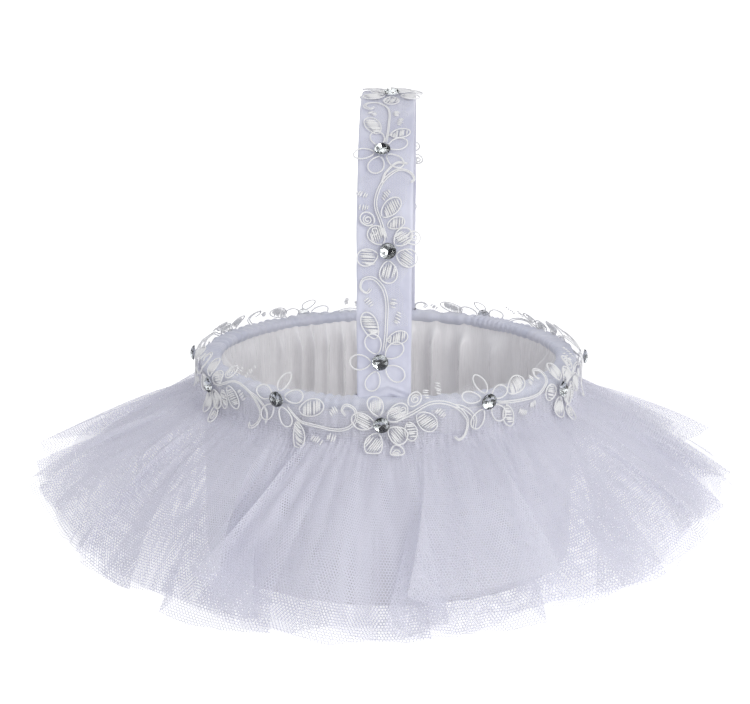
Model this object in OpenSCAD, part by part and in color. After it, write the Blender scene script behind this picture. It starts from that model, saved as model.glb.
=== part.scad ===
// Flower girl basket: a round satin-covered fibreboard tub with a gathered tulle
// skirt, a fixed satin-wrapped arch handle, corded lace trim and rhinestones.
// Millimetres. +Z up, origin at the centre of the underside. The handle arches
// from front (-Y) to back (+Y).

/* [Body] */
// Outside diameter over the rim binding
rim_d = 200; // [160:5:240]
// Height from the underside to the top of the rim
body_h = 107; // [90:1:130]
// Thickness of the fibreboard side wall
wall_t = 2; // [1.5:0.5:2.5]
// Thickness of the foam in the floor pad
foam_t = 4; // [2:1:8]

/* [Handle] */
// Width of the satin-wrapped handle strip
handle_w = 27; // [20:1:34]
// Thickness of the satin-wrapped handle strip
handle_t = 3; // [2.6:0.2:3]
// Height of the handle's top above the rim
handle_rise = 138; // [120:2:160]
// Depth of each handle foot below the rim
foot_depth = 45; // [30:5:60]

/* [Skirt] */
// Number of tulle layers
skirt_layers = 4; // [2:1:5]
// Length of the tulle from its gathered edge to its hem
skirt_len = 125; // [100:5:140]
// How much more each layer flares than the one inside it, in degrees
flare_step = 4; // [2:0.5:5]

/* [Trim] */
// Height of the lace around the rim
rim_lace_h = 24; // [18:1:28]
// Width of the lace along the handle
handle_lace_w = 24; // [18:1:26]
// Width across a lace flower
flower_d = 25; // [20:1:27]
// Diameter of a rhinestone
stone_d = 8; // [6:0.5:9]
// Number of rhinestones round the rim
rim_stones = 12; // [8:2:16]
// How much lower the lace hangs where it passes a handle foot
lace_dip = 5; // [0:1:8]
// How far the flowers wander to either side of the trim's middle line
trim_wander = 1.8; // [0:0.2:3]
// How far in front of the handle's top its middle rhinestone lies
handle_stone_shift = 13.5; // [0:0.5:20]

/* [Hidden] */
$fn = 128;

// Thin sheets, and the clearance between neighbouring pieces
satin_t = 0.4;
tulle_t = 0.3;
lace_t = 0.6;
petal_t = 0.8;
gap = 0.1;

// Underside, from the resting face up
base_cover_t = 0.8;
base_cover_inset = 0.7;
turn_under = 9;
body_cover_z = base_cover_t + gap;
board_z = body_cover_z + satin_t + gap;
base_board_t = 2.5;
floor_z = board_z + base_board_t + gap;
floor_board_t = 1.5;
foam_z = floor_z + floor_board_t + gap;
floor_top = foam_z + foam_t + gap + satin_t;

// Side wall, from the outside in; the flat handle feet fit inside the round wall
rim_r = rim_d / 2;
lip_t = 0.8;
lip_h = 8;
roll_h = 2.8;
wall_top = body_h - roll_h - gap;
cover_r = rim_r - lip_t - gap;
wall_r = cover_r - satin_t - gap;
wall_in = wall_r - wall_t;
foot_r = sqrt(pow(wall_in, 2) - pow(handle_w / 2, 2)) - gap;
staple_wire = 0.6;
crown_r = foot_r - handle_t - gap;
lining_r = crown_r - staple_wire - gap;
lining_t = 0.7;
lining_in = lining_r - lining_t;
floor_in = lining_in - 1;

// Handle: two straight legs joined by a half circle
arch_z = body_h + handle_rise - foot_r;
foot_z = body_h - foot_depth;
sleeve_t = 0.6;
core_t = handle_t - 2 * sleeve_t - 2 * gap;
core_w = handle_w - 2 * sleeve_t - 2 * gap;
core_r = foot_r - sleeve_t - gap;
handle_lace_r = foot_r + gap + lace_t;
handle_petal_r = handle_lace_r + gap;
handle_stone_r = handle_petal_r + petal_t + gap;

// Staples that fix each handle foot to the wall
staple_w = 12;
staple_point_r = wall_r - 0.4;
staple_z = [foot_z + foot_depth * 0.25, foot_z + foot_depth * 0.6];

// Skirt and rim lace, from the rim out
heading_r = rim_r + gap;
layer_pitch = tulle_t + 0.15;
heading_t = skirt_layers * layer_pitch;
rim_lace_r = heading_r + heading_t + gap + lace_t;
rim_petal_r = rim_lace_r + gap;
rim_stone_r = rim_petal_r + petal_t + gap;
rim_lace_top = body_h + 6;
rim_lace_foot = rim_lace_top - rim_lace_h;
flower_z = body_h - 4;
handle_lace_foot = body_h + 2;

// Behind the lace the gathered tulle and its tape are one band, and below it the layers flare;
// the inmost hem just clears the table
skirt_top = body_h - 5;
fall_z = min(rim_lace_foot, flower_z - trim_wander - lace_dip - flower_d / 2);
fall_len = skirt_len - (skirt_top - fall_z);
hem_clearance = 1.2;
inner_flare = acos(min(1, (fall_z - hem_clearance) / fall_len));

// Rhinestones sit one lace repeat apart, on the rim and along the handle
stone_step = 360 / rim_stones;
stone_start = -0.5;
lace_repeat = 2 * PI * rim_petal_r / rim_stones;
quarter_arch = PI / 2 * handle_petal_r;
handle_stones_a_side = floor((quarter_arch + arch_z - body_h - stone_d) / lace_repeat);
handle_stones = 2 * handle_stones_a_side + 1;

// Height of a rim flower at an angle from the front; the lace dips within dip_spread of a foot
dip_spread = 14;
function to_foot(angle) = let (a = abs(angle) % 180) min(a, 180 - a);
function lace_z(angle) = flower_z - lace_dip * exp(-pow(to_foot(angle) / dip_spread, 2));
function rim_angle(i) = stone_start + (i - 1) * stone_step;
function handle_place(i) = (i - 1 - handle_stones_a_side) * lace_repeat + handle_stone_shift;

// Flowers lie to either side in turn, counted from the front of the rim and from the handle's top
function wander(count) = trim_wander * (count % 2 == 0 ? 1 : -1);
function rim_flower_z(i) = lace_z(rim_angle(i)) - wander(i - 1);
function handle_flower_x(i) = wander(abs(i - 1 - handle_stones_a_side));
function two_digits(i) = str(i < 10 ? "0" : "", i);
function numbered(stem, n) = [for (i = [1:n]) str(stem, two_digits(i))];

module tube(outer, inner, z0, z1) {
    rotate_extrude()
        translate([inner, z0]) square([outer - inner, z1 - z0]);
}

module disc(r, z0, t) {
    translate([0, 0, z0]) cylinder(r = r, h = t);
}

// A flat strip bent into the handle's arch, with its outer face at radius outer
module arch(outer, t, w, z0) {
    translate([0, 0, arch_z])
        rotate([90, 0, 90])
            rotate_extrude(angle = 180)
                translate([outer - t, -w / 2]) square([t, w]);
    for (side = [0, 1])
        mirror([0, side, 0])
            translate([-w / 2, -outer, z0]) cube([w, t, arch_z - z0]);
}

// Puts a child on the handle at a path length from its top, with +Z outwards
module on_handle(place, r, x = 0) {
    past = max(0, abs(place) - quarter_arch);
    turn = place / quarter_arch * 90;
    translate([0, 0, arch_z - past])
        rotate([max(-90, min(90, turn)), 0, 0])
            translate([x, 0, r]) children();
}

// Puts a child on the rim at an angle from the front, with +Z outwards
module on_rim(angle, r, z) {
    rotate([0, 0, angle]) translate([0, -r, z]) rotate([90, 0, 0]) children();
}

// Five petals round a centre that backs the rhinestone
module flower() {
    petal_d = flower_d * 0.36;
    centre_d = flower_d * 0.42;
    linear_extrude(petal_t) {
        circle(d = centre_d);
        for (i = [0:4])
            rotate(72 * i + 18)
                translate([(flower_d - petal_d) / 2, 0]) circle(d = petal_d);
    }
}

// Flat-backed rhinestone: back, girdle, crown and table, each ring as
// [diameter, height, sides, turn] with its sizes as shares of the stone's
module rhinestone() {
    rings = [[0.88, 0, 8, 0], [1, 0.08, 16, 0], [1, 0.16, 16, 0], [0.8, 0.27, 8, 22.5], [0.52, 0.34, 8, 0]];
    film = 0.01;
    color("gainsboro")
        hull()
            for (ring = rings)
                rotate(ring[3])
                    translate([0, 0, ring[1] * stone_d])
                        linear_extrude(film)
                            circle(d = ring[0] * stone_d, $fn = ring[2]);
}

// One staple at the front foot: a crown inside the basket and two legs into the wall
module staple(z, grow = 0) {
    wire = staple_wire + 2 * grow;
    leg = staple_point_r - crown_r + staple_wire;
    translate([-staple_w / 2 - grow, -crown_r - grow, z - grow])
        cube([staple_w + 2 * grow, wire, wire]);
    for (x = [-staple_w / 2, staple_w / 2 - staple_wire])
        translate([x - grow, -staple_point_r - grow, z - grow])
            cube([wire, leg + 2 * grow, wire]);
}

module all_staples(grow = 0) {
    for (side = [0, 1], z = staple_z) mirror([0, side, 0]) staple(z, grow);
}

module base_cover() {
    color("white") disc(cover_r - base_cover_inset, 0, base_cover_t);
}

module base_board() {
    color("tan") disc(wall_in - gap, board_z, base_board_t);
}

module wall_board() {
    color("tan")
        difference() {
            tube(wall_r, wall_in, board_z, wall_top);
            all_staples(gap / 2);
        }
}

// Smooth satin wrap, turned under the tub at the bottom
module body_cover() {
    color("white") {
        tube(cover_r, cover_r - satin_t, body_cover_z, wall_top - gap);
        tube(cover_r - satin_t, cover_r - turn_under, body_cover_z, body_cover_z + satin_t);
    }
}

// Rolled satin edge over the wall and the lining, open where the handle passes
module rim_binding() {
    roll_in = lining_in - gap - lip_t;
    color("lavender")
        difference() {
            rotate_extrude() {
                translate([roll_in + roll_h / 2, body_h - roll_h])
                    square([rim_r - roll_in - roll_h, roll_h]);
                for (r = [roll_in + roll_h / 2, rim_r - roll_h / 2])
                    translate([r, body_h - roll_h / 2]) circle(d = roll_h);
                for (r = [roll_in, rim_r - lip_t])
                    translate([r, body_h - roll_h / 2 - lip_h]) square([lip_t, lip_h]);
            }
            for (side = [0, 1])
                mirror([0, side, 0])
                    translate([-handle_w / 2 - gap, -foot_r - gap, foot_z])
                        cube([handle_w + 2 * gap, handle_t + 2 * gap, body_h]);
        }
}

module lining() {
    color("seashell") tube(lining_r, lining_in, floor_z, wall_top);
}

module floor_board() {
    color("tan") disc(floor_in, floor_z, floor_board_t);
}

module floor_foam() {
    color("white") disc(floor_in, foam_z, foam_t);
}

module floor_cover() {
    color("seashell") {
        disc(lining_in - gap, floor_top - satin_t, satin_t);
        tube(lining_in - gap, lining_in - gap - satin_t, floor_z, floor_top);
    }
}

module handle_core() {
    color("whitesmoke")
        difference() {
            arch(core_r, core_t, core_w, foot_z + sleeve_t + gap);
            all_staples(gap / 2);
        }
}

module handle_sleeve() {
    color("white")
        difference() {
            arch(foot_r, handle_t, handle_w, foot_z);
            arch(core_r + gap, core_t + 2 * gap, core_w + 2 * gap, foot_z + sleeve_t);
            all_staples(gap / 2);
        }
}

module handle_staples() {
    color("silver") all_staples();
}

// Tape with the gathered heads of all the layers sewn to it
module skirt_heading() {
    color("white") tube(heading_r + heading_t, heading_r, fall_z + gap, skirt_top);
}

// The falling part of one tulle layer as a thin cone, innermost first
module tulle_layer(i) {
    flare = inner_flare + (i - 1) * flare_step;
    r = heading_r + (i - 1) * layer_pitch;
    hem_r = r + fall_len * sin(flare);
    hem_z = fall_z - fall_len * cos(flare);
    color([0.85, 0.85, 0.93, 0.6])
        rotate_extrude()
            polygon([[r, fall_z], [hem_r, hem_z], [hem_r + tulle_t, hem_z], [r + tulle_t, fall_z]]);
}

module rim_lace() {
    color("ivory")
        tube(rim_lace_r, rim_lace_r - lace_t, rim_lace_foot, rim_lace_top);
}

module rim_lace_flowers() {
    color("ivory")
        for (i = [1:rim_stones])
            on_rim(rim_angle(i), rim_petal_r, rim_flower_z(i)) flower();
}

module handle_lace() {
    color("ivory") arch(handle_lace_r, lace_t, handle_lace_w, handle_lace_foot);
}

module handle_lace_flowers() {
    color("ivory")
        for (i = [1:handle_stones])
            on_handle(handle_place(i), handle_petal_r, handle_flower_x(i)) flower();
}

base_cover();
base_board();
wall_board();
body_cover();
rim_binding();
lining();
floor_board();
floor_foam();
floor_cover();
handle_core();
handle_sleeve();
handle_staples();
skirt_heading();
for (i = [1:skirt_layers])
    tulle_layer(i);
rim_lace();
rim_lace_flowers();
handle_lace();
handle_lace_flowers();
for (i = [1:rim_stones])
    on_rim(rim_angle(i), rim_stone_r, rim_flower_z(i)) rhinestone();
for (i = [1:handle_stones])
    on_handle(handle_place(i), handle_stone_r, handle_flower_x(i)) rhinestone();
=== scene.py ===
"""Flower girl basket: cloth, lace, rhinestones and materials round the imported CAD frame.

Everything is in metres in the CAD frame. Shapes are worked out in millimetres and scaled by MM.
Angles round the basket start at the front (-Y) and turn towards +X.
"""

import math

import bpy
import numpy as np
from mathutils import Matrix, Vector
from numpy.random import default_rng

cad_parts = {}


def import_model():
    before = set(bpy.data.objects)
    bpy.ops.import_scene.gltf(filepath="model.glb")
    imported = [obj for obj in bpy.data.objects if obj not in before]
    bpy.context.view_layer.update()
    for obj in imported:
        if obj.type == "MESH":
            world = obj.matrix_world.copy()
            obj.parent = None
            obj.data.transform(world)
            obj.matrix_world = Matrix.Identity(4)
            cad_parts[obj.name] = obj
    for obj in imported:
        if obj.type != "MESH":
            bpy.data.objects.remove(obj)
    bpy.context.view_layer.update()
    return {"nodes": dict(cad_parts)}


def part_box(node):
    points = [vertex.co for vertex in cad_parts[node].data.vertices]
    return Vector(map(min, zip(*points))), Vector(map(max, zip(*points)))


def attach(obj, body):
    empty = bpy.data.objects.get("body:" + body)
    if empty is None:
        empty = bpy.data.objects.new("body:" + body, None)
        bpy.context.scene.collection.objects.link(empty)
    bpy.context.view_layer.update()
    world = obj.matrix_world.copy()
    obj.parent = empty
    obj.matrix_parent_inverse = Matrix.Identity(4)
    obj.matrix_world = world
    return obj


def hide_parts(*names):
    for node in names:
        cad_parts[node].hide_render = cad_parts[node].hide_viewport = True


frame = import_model()
MM = 0.001


# ---- sizes read from the CAD frame


def mm_box(node):
    low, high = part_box(node)
    return np.array(low) / MM, np.array(high) / MM


(_, _, RIM_LOW), (RIM_R, _, RIM_TOP) = mm_box("rim_binding")
(_, _, COVER_LOW), (COVER_R, _, COVER_TOP) = mm_box("body_cover")
(_, _, FLOOR_LOW), (LINING_IN, _, FLOOR_TOP) = mm_box("floor_cover")
(_, _, LINING_LOW), (_, _, LINING_TOP) = mm_box("lining")
(_, _, FOAM_LOW), (FOAM_R, _, FOAM_TOP) = mm_box("floor_foam")
(_, _, HANDLE_LOW), (HANDLE_HALF, HANDLE_R, HANDLE_TOP) = mm_box("handle_sleeve")
(_, _, TAPE_LOW), (_, _, TAPE_TOP) = mm_box("skirt_heading")
BASE_R, BOARD_R, LACE_R = (mm_box(node)[1][0] for node in ("base_cover", "wall_board", "rim_lace"))
HANDLE_LACE_R = mm_box("handle_lace")[1][1]
HANDLE_W, HANDLE_T = 2 * HANDLE_HALF, 3.0
ARCH_Z = HANDLE_TOP - HANDLE_R
RIM_STONES = sorted(n for n in frame["nodes"] if n.startswith("rim_rhinestone"))
HANDLE_STONES = sorted(n for n in frame["nodes"] if n.startswith("handle_rhinestone"))
TULLE = sorted(n for n in frame["nodes"] if n.startswith("tulle_layer"))


def middle_of(node):
    """Mean of a node's separate vertices, in millimetres: on the axis of a stone."""
    points = np.array([v.co for v in frame["nodes"][node].data.vertices])
    return np.unique(np.round(points, 6), axis=0).mean(0) / MM


# ---- small mathematics


def ease(a, b, x):
    t = np.clip((np.asarray(x, float) - a) / (b - a), 0, 1)
    return t * t * (3 - 2 * t)


def running(steps):
    """Running total of the steps, starting at 0."""
    return np.concatenate([[0], np.cumsum(steps)])


def ring_noise(rng, angle, counts):
    """A smooth random function round the ring, roughly from -1 to 1."""
    total = np.zeros_like(angle)
    for count in counts:
        total = total + rng.uniform(0.5, 1) * np.sin(count * angle + rng.uniform(0, 2 * np.pi))
    return total / math.sqrt(len(counts)) * 1.1


def field_noise(rng, x, y, size, terms=14):
    """A smooth random function of two lengths with features of about that size, roughly -1 to 1."""
    total = np.zeros(np.broadcast(x, y).shape)
    for _ in range(terms):
        turn, stretch, phase = rng.uniform(0, np.pi), rng.uniform(0.6, 1.6), rng.uniform(0, 2 * np.pi)
        k = 2 * np.pi / size * stretch
        total = total + np.sin(k * (x * np.cos(turn) + y * np.sin(turn)) + phase)
    return total / math.sqrt(terms) * 1.2


def ring_phase(rng, angle, count, spread):
    """A phase that grows by count turns round the ring, faster in some places than others."""
    density = np.exp(spread * ring_noise(rng, angle, [2, 3, 5, 7, 9]))
    return running(density / density.sum() * 2 * np.pi * count)[:-1]


def spline(points, step=0.8):
    """Catmull-Rom curve through points, resampled at about that step."""
    p = np.array(points, float)
    p = np.vstack([2 * p[0] - p[1], p, 2 * p[-1] - p[-2]])
    t = np.linspace(0, 1, 13)[:-1, None]
    out = []
    for a, b, c, d in zip(p[:-3], p[1:-2], p[2:-1], p[3:]):
        out.append(
            0.5 * (2 * b + (c - a) * t + (2 * a - 5 * b + 4 * c - d) * t**2 + (3 * b - a - 3 * c + d) * t**3)
        )
    curve = np.vstack(out + [p[-2:-1]])
    length = running(np.linalg.norm(np.diff(curve, axis=0), axis=1))
    even = np.linspace(0, length[-1], max(3, int(length[-1] / step) + 1))
    return np.stack([np.interp(even, length, curve[:, k]) for k in range(curve.shape[1])], 1)


# ---- meshes


def make(name, points_mm, faces, uv, material, nodes, slot):
    """A piece from points in millimetres, faces and a UV for each face corner, riding on the frame."""
    mesh = bpy.data.meshes.new(name)
    mesh.from_pydata((np.asarray(points_mm) * MM).tolist(), [], [list(f) for f in faces])
    mesh.uv_layers.new(name="UVMap").data.foreach_set("uv", np.asarray(uv, float).ravel())
    mesh.materials.append(material)
    mesh.polygons.foreach_set("use_smooth", [True] * len(mesh.polygons))
    mesh.validate()
    mesh.update()
    piece = put(name, mesh)
    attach(piece, "root")
    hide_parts(*nodes)
    return piece


def grid(points, u, v, closed=False, flip=False, keep=None):
    """Quads and corner UVs of a grid of points (m, n, 3). u and v are arrays over the grid, with one
    more row than the points where the grid closes on itself. keep says which quads stay."""
    m, n = points.shape[:2]
    i, j = np.meshgrid(np.arange(m if closed else m - 1), np.arange(n - 1), indexing="ij")
    if keep is not None:
        i, j = i[keep], j[keep]
    i, j = i.ravel(), j.ravel()
    order = [(0, 0), (0, 1), (1, 1), (1, 0)] if flip else [(0, 0), (1, 0), (1, 1), (0, 1)]
    quads = np.stack([((i + a) % m) * n + j + b for a, b in order], 1)
    u, v = np.broadcast_to(u, (m + closed, n)), np.broadcast_to(v, (m + closed, n))
    uv = np.stack([np.stack([u[i + a, j + b], v[i + a, j + b]], -1) for a, b in order], 1)
    return points.reshape(-1, 3), quads, uv


def put(name, data):
    """A new object in the scene."""
    piece = bpy.data.objects.new(name, data)
    bpy.context.scene.collection.objects.link(piece)
    return piece


def round_the_basket(angle, r, z):
    """Points from angle, radius and height arrays that broadcast together."""
    angle, r, z = np.broadcast_arrays(angle, r, z)
    return np.stack([r * np.sin(angle), -r * np.cos(angle), z], -1)


# ---- materials


def new_material(name):
    material = bpy.data.materials.new(name)
    material.use_nodes = True
    material.node_tree.nodes.clear()
    return material, material.node_tree


def add(tree, kind, inputs=None, **settings):
    """A shader node of that kind, with its inputs set or linked."""
    made = tree.nodes.new("ShaderNode" + kind)
    for name, value in settings.items():
        setattr(made, name, value)
    for name, value in (inputs or {}).items():
        socket = made.inputs[name]
        if isinstance(value, bpy.types.NodeSocket):
            tree.links.new(value, socket)
        else:
            socket.default_value = value
    return made


def surface(tree, inputs):
    """A principled shader with those inputs as the material's surface."""
    shader = add(tree, "BsdfPrincipled", inputs)
    add(tree, "OutputMaterial", {"Surface": shader.outputs[0]})


def uv_of(tree):
    return add(tree, "UVMap", uv_map="UVMap").outputs[0]


def speckle(tree, scale, detail):
    """Noise in object space, scale cells to the metre."""
    place = add(tree, "TexCoord").outputs["Object"]
    return add(tree, "TexNoise", {"Vector": place, "Scale": scale, "Detail": detail}).outputs[0]


def maths(tree, operation, *values):
    return add(tree, "Math", dict(enumerate(values)), operation=operation).outputs[0]


def ramp(tree, value, low, high, to_low=0.0, to_high=1.0):
    inputs = {"Value": value, "From Min": low, "From Max": high, "To Min": to_low, "To Max": to_high}
    return add(tree, "MapRange", inputs, interpolation_type="SMOOTHSTEP").outputs["Result"]


def blend(tree, share, a, b):
    """The colour that is share of the way from a to b."""
    return add(tree, "Mix", {0: share, 6: a, 7: b}, data_type="RGBA").outputs[2]


def dot(tree, vector, direction):
    inputs = {0: vector, 1: direction}
    return add(tree, "VectorMath", inputs, operation="DOT_PRODUCT").outputs["Value"]


def stretched_noise(tree, uv, across, along, detail=3.0):
    """Noise with cells of across by along metres in UV space."""
    mapped = add(tree, "Mapping", {"Vector": uv, "Scale": (1 / across, 1 / along, 1)})
    inputs = {"Vector": mapped.outputs[0], "Scale": 1.0, "Detail": detail, "Roughness": 0.55}
    return add(tree, "TexNoise", inputs).outputs[0]


def satin(name, light, dark, roughness=0.42, sheen=0.25):
    """Woven satin: long floats with slubs along the cloth, fine threads and soft creases."""
    material, tree = new_material(name)
    uv = uv_of(tree)
    cloud = stretched_noise(tree, uv, 0.018, 0.030)
    slub = stretched_noise(tree, uv, 0.0007, 0.012)
    thread = stretched_noise(tree, uv, 0.0003, 0.0022, 1.0)
    colour = blend(tree, ramp(tree, cloud, 0.3, 0.7), light, dark)
    colour = blend(tree, ramp(tree, slub, 0.55, 0.8, 0.0, 0.1), colour, (1, 1, 1, 1))
    crease = add(tree, "Bump", {"Height": cloud, "Distance": 0.0012, "Strength": 0.35})
    weave = add(tree, "Bump", {
        "Height": maths(tree, "ADD", slub, thread), "Distance": 0.00006, "Strength": 0.3,
        "Normal": crease.outputs[0],
    })
    gloss = ramp(tree, slub, 0.2, 0.8, roughness + 0.06, roughness - 0.06)
    surface(tree, {
        "Base Color": colour, "Roughness": gloss, "Normal": weave.outputs[0], "Sheen Weight": sheen,
        "Sheen Roughness": 0.4, "Specular IOR Level": 0.45,
    })
    return material


def net_mask(tree, uv, pitch, threshold, softness):
    """1 on the threads of a hexagonal net of that pitch in UV metres, 0 in its holes."""
    k = 4 * math.pi / (math.sqrt(3) * pitch)
    slant = k * math.sqrt(3) / 2
    directions = ((0, k, 0), (slant, k / 2, 0), (slant, -k / 2, 0))
    waves = [maths(tree, "COSINE", dot(tree, uv, direction)) for direction in directions]
    height = maths(tree, "ADD", maths(tree, "ADD", waves[0], waves[1]), waves[2])
    above = maths(tree, "SUBTRACT", height, threshold)
    return ramp(tree, above, -softness, softness, 1.0, 0.0)


def net(name, light, dark, pitch, threshold, softness, through):
    """Nylon net. threshold is a number or the four of a ramp down the cloth: the higher, the closer
    the net. through is the share of a thread's light that shines through it."""
    material, tree = new_material(name)
    uv = uv_of(tree)
    if isinstance(threshold, tuple):
        down = add(tree, "SeparateXYZ", {0: uv}).outputs[1]
        threshold = ramp(tree, down, *threshold)
    drift = stretched_noise(tree, uv, 0.02, 0.05)
    colour = blend(tree, ramp(tree, drift, 0.3, 0.7), light, dark)
    gloss = ramp(tree, drift, 0.3, 0.7, 0.42, 0.58)
    cloth = add(tree, "BsdfPrincipled", {
        "Base Color": colour, "Roughness": gloss, "Sheen Weight": 0.2, "Specular IOR Level": 0.5,
    })
    shine = add(tree, "BsdfTranslucent", {"Color": colour})
    thread = add(tree, "MixShader", {0: through, 1: cloth.outputs[0], 2: shine.outputs[0]})
    hole = add(tree, "BsdfTransparent")
    mask = net_mask(tree, uv, pitch, threshold, softness)
    mixed = add(tree, "MixShader", {0: mask, 1: hole.outputs[0], 2: thread.outputs[0]})
    add(tree, "OutputMaterial", {"Surface": mixed.outputs[0]})
    return material


def thread_material(name, light, dark):
    """Rayon cord: a twisted strand with a soft gloss, glowing faintly in its own colour as painted light. UV
    runs along and round the cord in metres.
    """
    material, tree = new_material(name)
    uv = uv_of(tree)
    strand = maths(tree, "SINE", dot(tree, uv, (7000, 5000, 0)))
    fuzz = stretched_noise(tree, uv, 0.004, 0.0006)
    # painted shade: the cord is darker in the grooves of its twist, where the bump sinks, with random tone
    # from the fuzz on top
    colour = blend(tree, ramp(tree, maths(tree, "ADD", strand, fuzz), -0.8, 1.6), dark, light)
    bump = add(tree, "Bump", {"Height": strand, "Distance": 0.0001, "Strength": 0.5})
    surface(tree, {
        "Base Color": colour, "Roughness": ramp(tree, fuzz, 0.2, 0.8, 0.3, 0.45),
        "Normal": bump.outputs[0], "Sheen Weight": 0.9, "Specular IOR Level": 0.7,
        # painted light: the cord glows faintly in its own colour, though it is no lamp
        "Emission Color": colour, "Emission Strength": 0.03,
    })
    return material


def hidden_material(name, light, dark, grain, roughness, metallic=0.0):
    """Board, plastic and wire that other pieces cover: flecked colour with a slight grain."""
    material, tree = new_material(name)
    speck = speckle(tree, 1 / grain, 5.0)
    bump = add(tree, "Bump", {"Height": speck, "Distance": 0.0002, "Strength": 0.4})
    surface(tree, {
        "Base Color": blend(tree, ramp(tree, speck, 0.35, 0.65), light, dark),
        "Roughness": ramp(tree, speck, 0.3, 0.7, roughness - 0.08, roughness + 0.08),
        "Metallic": metallic, "Normal": bump.outputs[0],
    })
    return material


def glass_material():
    material, tree = new_material("stone_glass")
    wear = speckle(tree, 900.0, 2.0)
    surface(tree, {
        "Base Color": (0.96, 0.98, 1, 1), "Roughness": ramp(tree, wear, 0.3, 0.8, 0.0, 0.03),
        "Transmission Weight": 1.0, "IOR": 1.56,
    })
    return material


def foil_material():
    material, tree = new_material("stone_foil")
    wear = speckle(tree, 700.0, 2.0)
    surface(tree, {
        "Base Color": blend(tree, wear, (0.8, 0.83, 0.82, 1), (0.95, 0.96, 0.96, 1)),
        "Roughness": ramp(tree, wear, 0.3, 0.8, 0.04, 0.1), "Metallic": 1.0,
    })
    return material


SATIN_WHITE = satin("satin_white", (0.93, 0.92, 0.95, 1), (0.89, 0.88, 0.92, 1))
# The rim's satin is the body's white satin painted darker and bluer: painted shade over the binding's own
# bluish tint.
SATIN_RIM = satin("satin_rim", (0.695, 0.705, 0.785, 1), (0.615, 0.635, 0.735, 1), 0.38)
SATIN_LINING = satin("satin_lining", (0.935, 0.925, 0.93, 1), (0.865, 0.855, 0.86, 1), 0.28, 0.15)
# The handle's satin is the body's white satin painted darker and bluer: painted shade over the sleeve's own
# bluish tint.
SATIN_HANDLE = satin("satin_handle", (0.74, 0.75, 0.85, 1), (0.61, 0.62, 0.74, 1), 0.34)
# Metres down the cloth from where to where the tulle opens up, and its threshold at each
TULLE_OPENS = (0.045, 0.115, -0.3, -0.85)
TULLE_NET = net("tulle_net", (0.91, 0.91, 0.975, 1), (0.85, 0.85, 0.92, 1), 0.00155, TULLE_OPENS, 0.12, 0.3)
LACE_NET = net("lace_net", (0.92, 0.92, 0.935, 1), (0.86, 0.86, 0.88, 1), 0.0009, -1.05, 0.1, 0.4)
# The cord's darker colour is painted shade in the grooves of its twist, mixed with random tone.
CORD = thread_material("lace_cord", (0.96, 0.96, 0.95, 1), (0.84, 0.84, 0.84, 1))
TAPE = satin("cotton_tape", (0.86, 0.86, 0.90, 1), (0.80, 0.80, 0.85, 1), 0.7, 0.1)
GLASS, FOIL = glass_material(), foil_material()
BOARD = hidden_material("grey_board", (0.66, 0.58, 0.47, 1), (0.52, 0.45, 0.36, 1), 0.002, 0.8)
PLASTIC = hidden_material("core_plastic", (0.86, 0.86, 0.85, 1), (0.8, 0.8, 0.79, 1), 0.004, 0.45)
STEEL = hidden_material("staple_steel", (0.62, 0.62, 0.63, 1), (0.5, 0.5, 0.51, 1), 0.003, 0.3, 1.0)
for name, material in {
    "base_board": BOARD, "wall_board": BOARD, "floor_board": BOARD, "handle_core": PLASTIC,
    "handle_staples": STEEL,
}.items():
    for slot in frame["nodes"][name].material_slots:
        slot.material = material


# ---- tub, lining and floor


def turn(samples):
    return np.arange(samples) * 2 * np.pi / samples


def closed_u(samples, radius):
    """U in metres round a closed ring of that radius."""
    return (np.arange(samples + 1) * 2 * np.pi / samples * radius * MM)[:, None]


def tub_satin():
    """Smooth wrap of the wall, turned under the tub, with shallow drag lines."""
    rng = default_rng(11)
    angle = turn(360)[:, None]
    down = np.concatenate([np.linspace(COVER_TOP, COVER_LOW + 0.5, 40), [COVER_LOW + 0.15],
                           np.full(7, COVER_LOW)])
    out = np.concatenate([np.full(40, COVER_R), COVER_R - np.array([0.05, 0.5, 1.2, 2, 3.5, 5, 7, 9])])
    pull = ring_noise(rng, angle, [9, 14, 21, 34]) * ease(0, 60, down) * 0.25
    r = out - 0.3 + pull - 0.1 * np.abs(ring_noise(rng, angle, [60, 83])) * ease(40, 6, down)
    r = np.where(down > COVER_LOW, np.maximum(r, BOARD_R + 0.12), r)
    points = round_the_basket(angle, r, down)
    length = running(np.hypot(np.diff(down), np.diff(out))) * MM
    piece = make("tub_satin", *grid(points, closed_u(360, COVER_R), length, True, True),
                 SATIN_WHITE, ["body_cover"], "outer_satin")


def disc_sheet(name, node, slot, material, r_max, z_at, edge):
    """A round sheet with its rim at radius r_max turned down or up by the heights in edge."""
    radii = np.concatenate([np.linspace(0.5, r_max - 1, 36), [r_max - 0.4, r_max - 0.1, r_max],
                            np.full(len(edge), r_max)])
    angle = turn(180)[:, None]
    z = z_at(angle, radii) + np.concatenate([np.zeros(39), edge])
    points = round_the_basket(angle, radii, z)
    faces_up = edge[-1] < 0
    flat, quads, _ = grid(points, 0.0, 0.0, True, faces_up)
    uv = flat[quads][:, :, :2] * MM
    middle = len(flat)
    flat = np.vstack([flat, [[0, 0, float(z_at(0, 0))]]])
    n = len(radii)
    fan = [(middle, ((i + 1) % 180) * n, i * n) for i in range(180)]
    if faces_up:
        fan = [(a, c, b) for a, b, c in fan]
    faces = quads.tolist() + fan
    fan_uv = np.array([flat[list(f)][:, :2] * MM for f in fan])
    corners = np.concatenate([uv.reshape(-1, 2), fan_uv.reshape(-1, 2)])
    piece = make(name, flat, faces, corners, material, [node], slot)


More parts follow.
